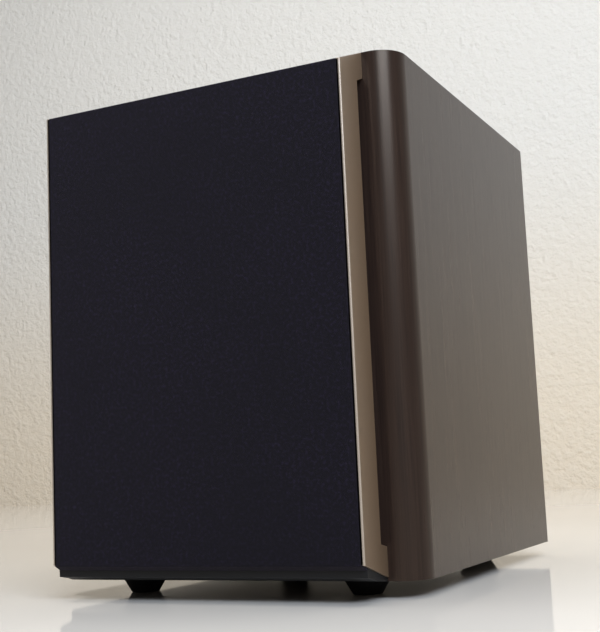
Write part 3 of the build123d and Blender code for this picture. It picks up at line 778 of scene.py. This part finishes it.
copper_braid = plated("copper_braid", (196, 132, 84), 0.4)
low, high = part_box("tinsel_leads")
for side, z in (("low", low.z + BRAID_R), ("high", high.z - BRAID_R)):
    outside = high.x - BRAID_R
    route = [(outside, high.y, z), (outside, high.y - BRAID_STRAIGHT, z)]
    bow = (high.x - BRAID_SLACK[0], low.y + BRAID_SLACK[1], z)
    route += [bow, (low.x + BRAID_R, low.y + BRAID_R, z)]
    curve = bpy.data.curves.new("braid_" + side, "CURVE")
    curve.dimensions = "3D"
    curve.bevel_depth = BRAID_R
    curve.use_fill_caps = True
    line = curve.splines.new("NURBS")
    line.points.add(len(route) - 1)
    for point, place in zip(line.points, route):
        point.co = (*place, 1)
    line.order_u = 3
    line.use_endpoint_u = True
    shape = bpy.data.objects.new("braid_" + side, curve)
    bpy.context.scene.collection.objects.link(shape)
    graph = bpy.context.evaluated_depsgraph_get()
    mesh = bpy.data.meshes.new_from_object(shape.evaluated_get(graph))
    bpy.data.objects.remove(shape)
    braid = bpy.data.objects.new("tinsel_braid_" + side, mesh)
    bpy.context.scene.collection.objects.link(braid)
    mesh.materials.clear()
    mesh.materials.append(copper_braid)
    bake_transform(braid)
    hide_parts("tinsel_leads")


# --- Amplifier panel -------------------------------------------------------------------
# Powder-coated steel plate with a finned heatsink, two rotary controls, two slide switches,
# three phono jacks, the mains inlet and a rocker switch, and the boards behind it. Printed
# ticks ring the controls, and a pale line on each knob points to them.

gloss_black = moulded("gloss_black_plastic", (20, 20, 21), (29, 29, 30), 0.3, 2400, 0.012 * MM)
dress(["amp_plate"], steel_black, None)
dress(["plate_screws"], dark_oxide, SMALL_ARRIS)

KNOB_ARRIS = 0.25 * MM
FINE_ARRIS = 0.15 * MM
SLEEVE_ARRIS = 0.6 * MM
TAPE_WAVE = 900
TICKS, TICK_SWEEP = 11, 300
TICK = Vector((0.5, 0.12, 1.6)) * MM
TICK_R = 13.2 * MM
POINTER = Vector((0.9, 0.12, 6.0)) * MM
POINTER_R = 5 * MM
ink = moulded("white_ink", (196, 196, 192), (214, 214, 210), 0.6)
plate_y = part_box("amp_plate")[1].y
for control in ("volume", "crossover"):
    low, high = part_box(control + "_knob")
    axis = (low + high) / 2
    bm = bmesh.new()
    for k in range(TICKS):
        turn = Matrix.Rotation(radians(TICK_SWEEP * (k / (TICKS - 1) - 0.5)), 4, "Y")
        made = bmesh.ops.create_cube(bm, size=1)["verts"]
        bmesh.ops.scale(bm, vec=TICK, verts=made)
        bmesh.ops.translate(bm, vec=(0, 0, TICK_R), verts=made)
        bmesh.ops.transform(bm, matrix=turn, verts=made)
    bmesh.ops.translate(bm, vec=(axis.x, plate_y, axis.z), verts=bm.verts)
    ticks = new_piece(control + "_ticks", bm, ink, "cabinet")
    bm = bmesh.new()
    bmesh.ops.create_cube(bm, size=1)
    bmesh.ops.scale(bm, vec=POINTER, verts=bm.verts)
    bmesh.ops.translate(bm, vec=(axis.x, high.y, axis.z + POINTER_R), verts=bm.verts)
    pointer = new_piece(control + "_pointer", bm, ink, control)

anodised = plated("black_anodised", (44, 44, 48), 0.4, 0.8)
pale_plastic = moulded("pale_slider_plastic", (168, 168, 164), (190, 190, 186), 0.4)
brass = plated("brass", (206, 168, 92), 0.3)
nickel = plated("nickel_plate", (208, 204, 196), 0.22)
dress(["heatsink"], anodised, SMALL_ARRIS)
dress(["mains_inlet", "rocker_housing", "switch_bodies", "rca_insulators"], gloss_black, SMALL_ARRIS)
dress(["power_rocker", "volume_knob", "crossover_knob"], gloss_black, KNOB_ARRIS)
dress(["phase_slider", "auto_slider"], pale_plastic, FINE_ARRIS)
dress(["inlet_pins", "board_standoffs"], brass, FINE_ARRIS)
dress(["rca_shells", "volume_shaft", "crossover_shaft", "pot_bodies"], nickel, SMALL_ARRIS)
dress(["toroid_washer", "toroid_bolt"], nickel, SMALL_ARRIS)
dress(["status_lens"], moulded("green_lens", (40, 150, 60), (60, 180, 80), 0.15), 0)
board = moulded("circuit_board", (18, 78, 36), (28, 98, 48), 0.4, 500)
dress(["main_board", "input_board"], board, 0)
dress(["capacitors"], moulded("blue_sleeve", (28, 42, 96), (38, 54, 116), 0.3), SLEEVE_ARRIS)
dress(["toroid"], woven("winding_tape", (170, 132, 20), (222, 184, 50), TAPE_WAVE, 0.4), 0)
dress(["speaker_leads", "mains_leads"], moulded("lead_sleeve", (128, 22, 20), (150, 34, 30), 0.45), 0)


# --- Damping wadding -------------------------------------------------------------------
# A soft pad of white polyester fibre, glued under the top panel. It is cut a little smaller
# than its room, and its faces swell between its edges.

PAD_SLACK = Vector((3, 3, 5)) * MM
PAD_ROUND = 8 * MM
PAD_SWELL = 3 * MM
PAD_VOXEL = 7 * MM
PAD_PRESSURE = 2.0
PAD_STEPS = 12


def fibre_wadding():
    finish = Finish("fibre_wadding", Roughness=1.0, Sheen_Weight=0.4)
    tuft = finish.noise(finish.place(), 160, 6.0, 0.75)
    finish.set("Base Color", finish.mix(tuft, srgb(196, 194, 188), srgb(238, 237, 233)))
    finish.bump(tuft, 2.0 * MM, 0.9)
    return finish.material


def settle(piece):
    """Gives the piece the mesh that its modifiers make."""
    graph = bpy.context.evaluated_depsgraph_get()
    piece.data = bpy.data.meshes.new_from_object(piece.evaluated_get(graph))
    piece.modifiers.clear()


def swell(piece):
    """Lets cloth pressure round a closed pad, and keeps each point near its start."""
    remesh = piece.modifiers.new("remesh", "REMESH")
    remesh.mode = "VOXEL"
    remesh.voxel_size = PAD_VOXEL
    bpy.context.view_layer.update()
    settle(piece)
    start = [v.co.copy() for v in piece.data.vertices]
    cloth = piece.modifiers.new("cloth", "CLOTH")
    cloth.settings.use_pressure = True
    cloth.settings.uniform_pressure_force = PAD_PRESSURE
    cloth.settings.effector_weights.gravity = 0
    for step in range(1, PAD_STEPS + 1):
        bpy.context.scene.frame_set(step)
    settle(piece)
    bpy.context.scene.frame_set(1)
    for vert, home in zip(piece.data.vertices, start):
        move = vert.co - home
        if move.length > PAD_SWELL:
            vert.co = home + move * (PAD_SWELL / move.length)


low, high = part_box("damping_wadding")
bm = bmesh.new()
bmesh.ops.create_cube(bm, size=1)
bmesh.ops.scale(bm, vec=high - low - 2 * PAD_SLACK, verts=bm.verts)
bmesh.ops.translate(bm, vec=(low + high) / 2, verts=bm.verts)
bmesh.ops.bevel(bm, geom=bm.edges[:], offset=PAD_ROUND, segments=3, profile=0.5, affect="EDGES",
                material=-1)
wadding = new_piece("wadding_pad", bm, fibre_wadding())
swell(wadding)
smooth_faces(wadding)
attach(wadding, "cabinet")
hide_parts("damping_wadding")
